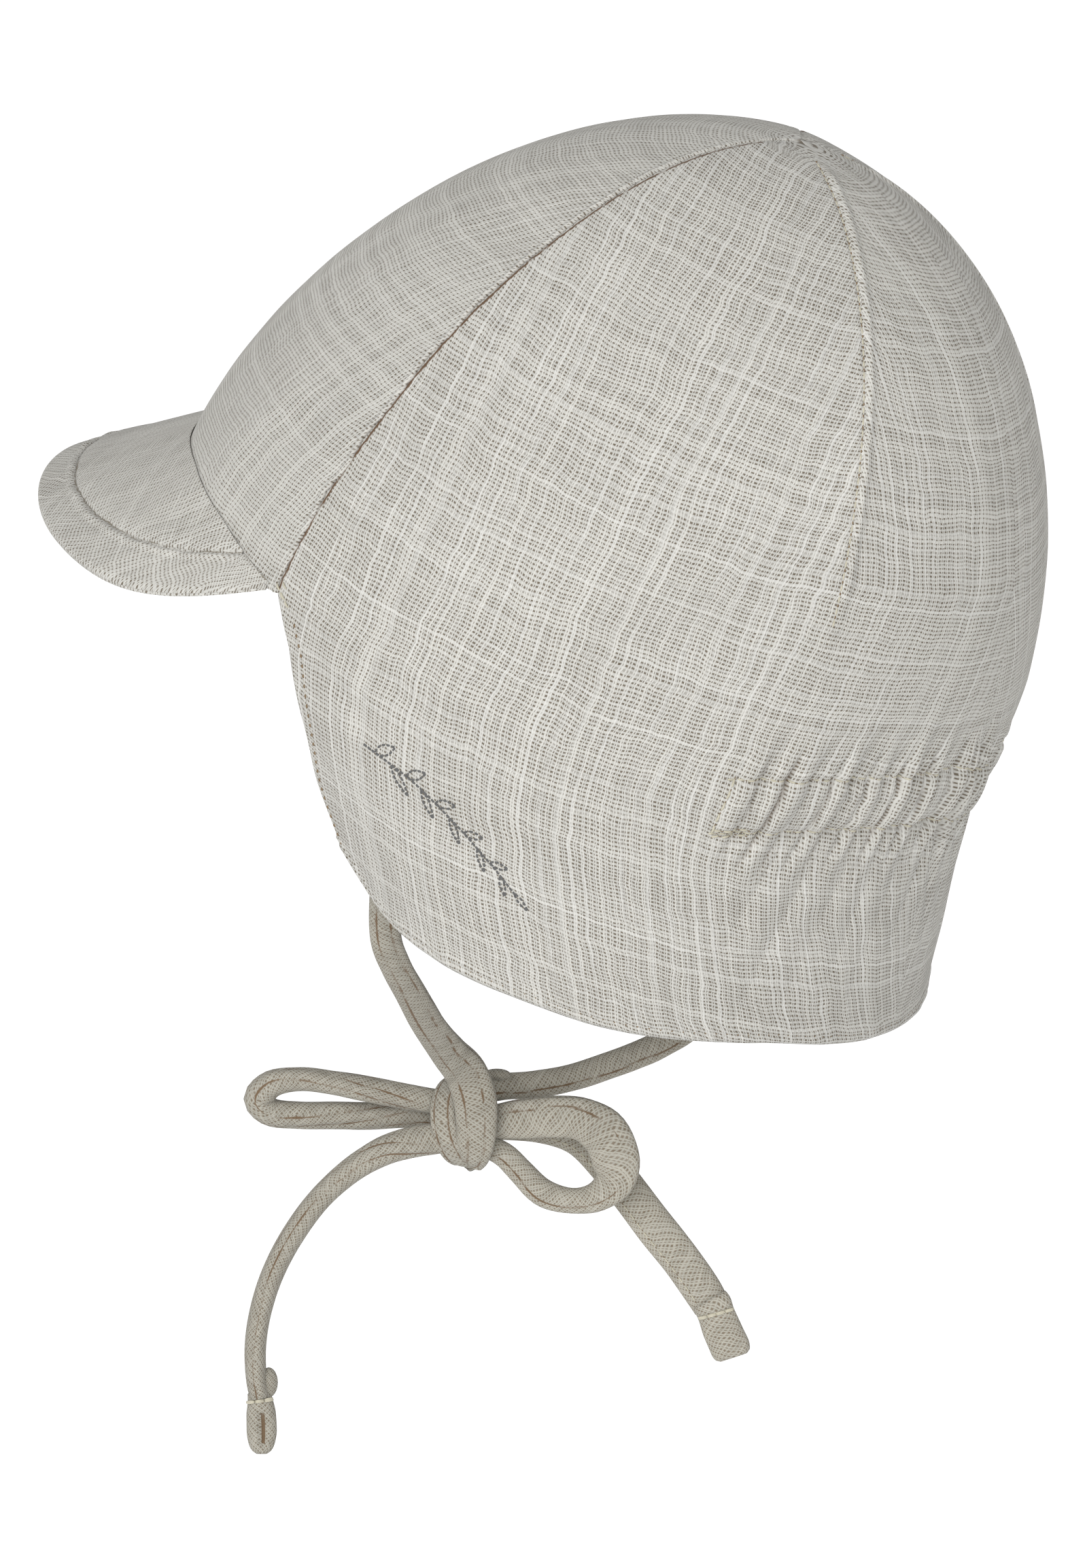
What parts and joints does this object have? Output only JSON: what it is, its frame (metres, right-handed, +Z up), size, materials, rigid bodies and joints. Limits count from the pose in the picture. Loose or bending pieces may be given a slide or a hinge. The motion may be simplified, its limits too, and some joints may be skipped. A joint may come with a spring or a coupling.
{
  "type": "legionnaire cap",
  "caption": "Baby's soft muslin cap with a short curved peak, ear flaps running into a neck guard, a gathered elastic nape and ties knotted in a bow.",
  "frame": {"origin": "middle of the head opening's rim plane, where a head carries the cap", "axes": "+Z up as worn, -Y the way the peak points, +X toward the wearer's left"},
  "size_m": [0.1444, 0.1952, 0.2528],
  "materials": {
    "crown_muslin": "open plain weave with slubs, matt",
    "peak_muslin": "stiffened plain weave, matt",
    "tie_muslin": "bias-woven flat tie, matt"
  },
  "bodies": {
    "root": {"crown_front": "crown_muslin", "crown_body": "crown_muslin", "peak_panel": "peak_muslin", "peak_border": "peak_muslin", "tie_left": "tie_muslin", "tie_right": "tie_muslin", "tie_knot": "tie_muslin", "loop_left_tie": "tie_muslin", "loop_right_tie": "tie_muslin", "tail_left_tie": "tie_muslin", "tail_right_tie": "tie_muslin", "end_left_tie": "tie_muslin", "end_right_tie": "tie_muslin"}
  },
  "joints": []
}
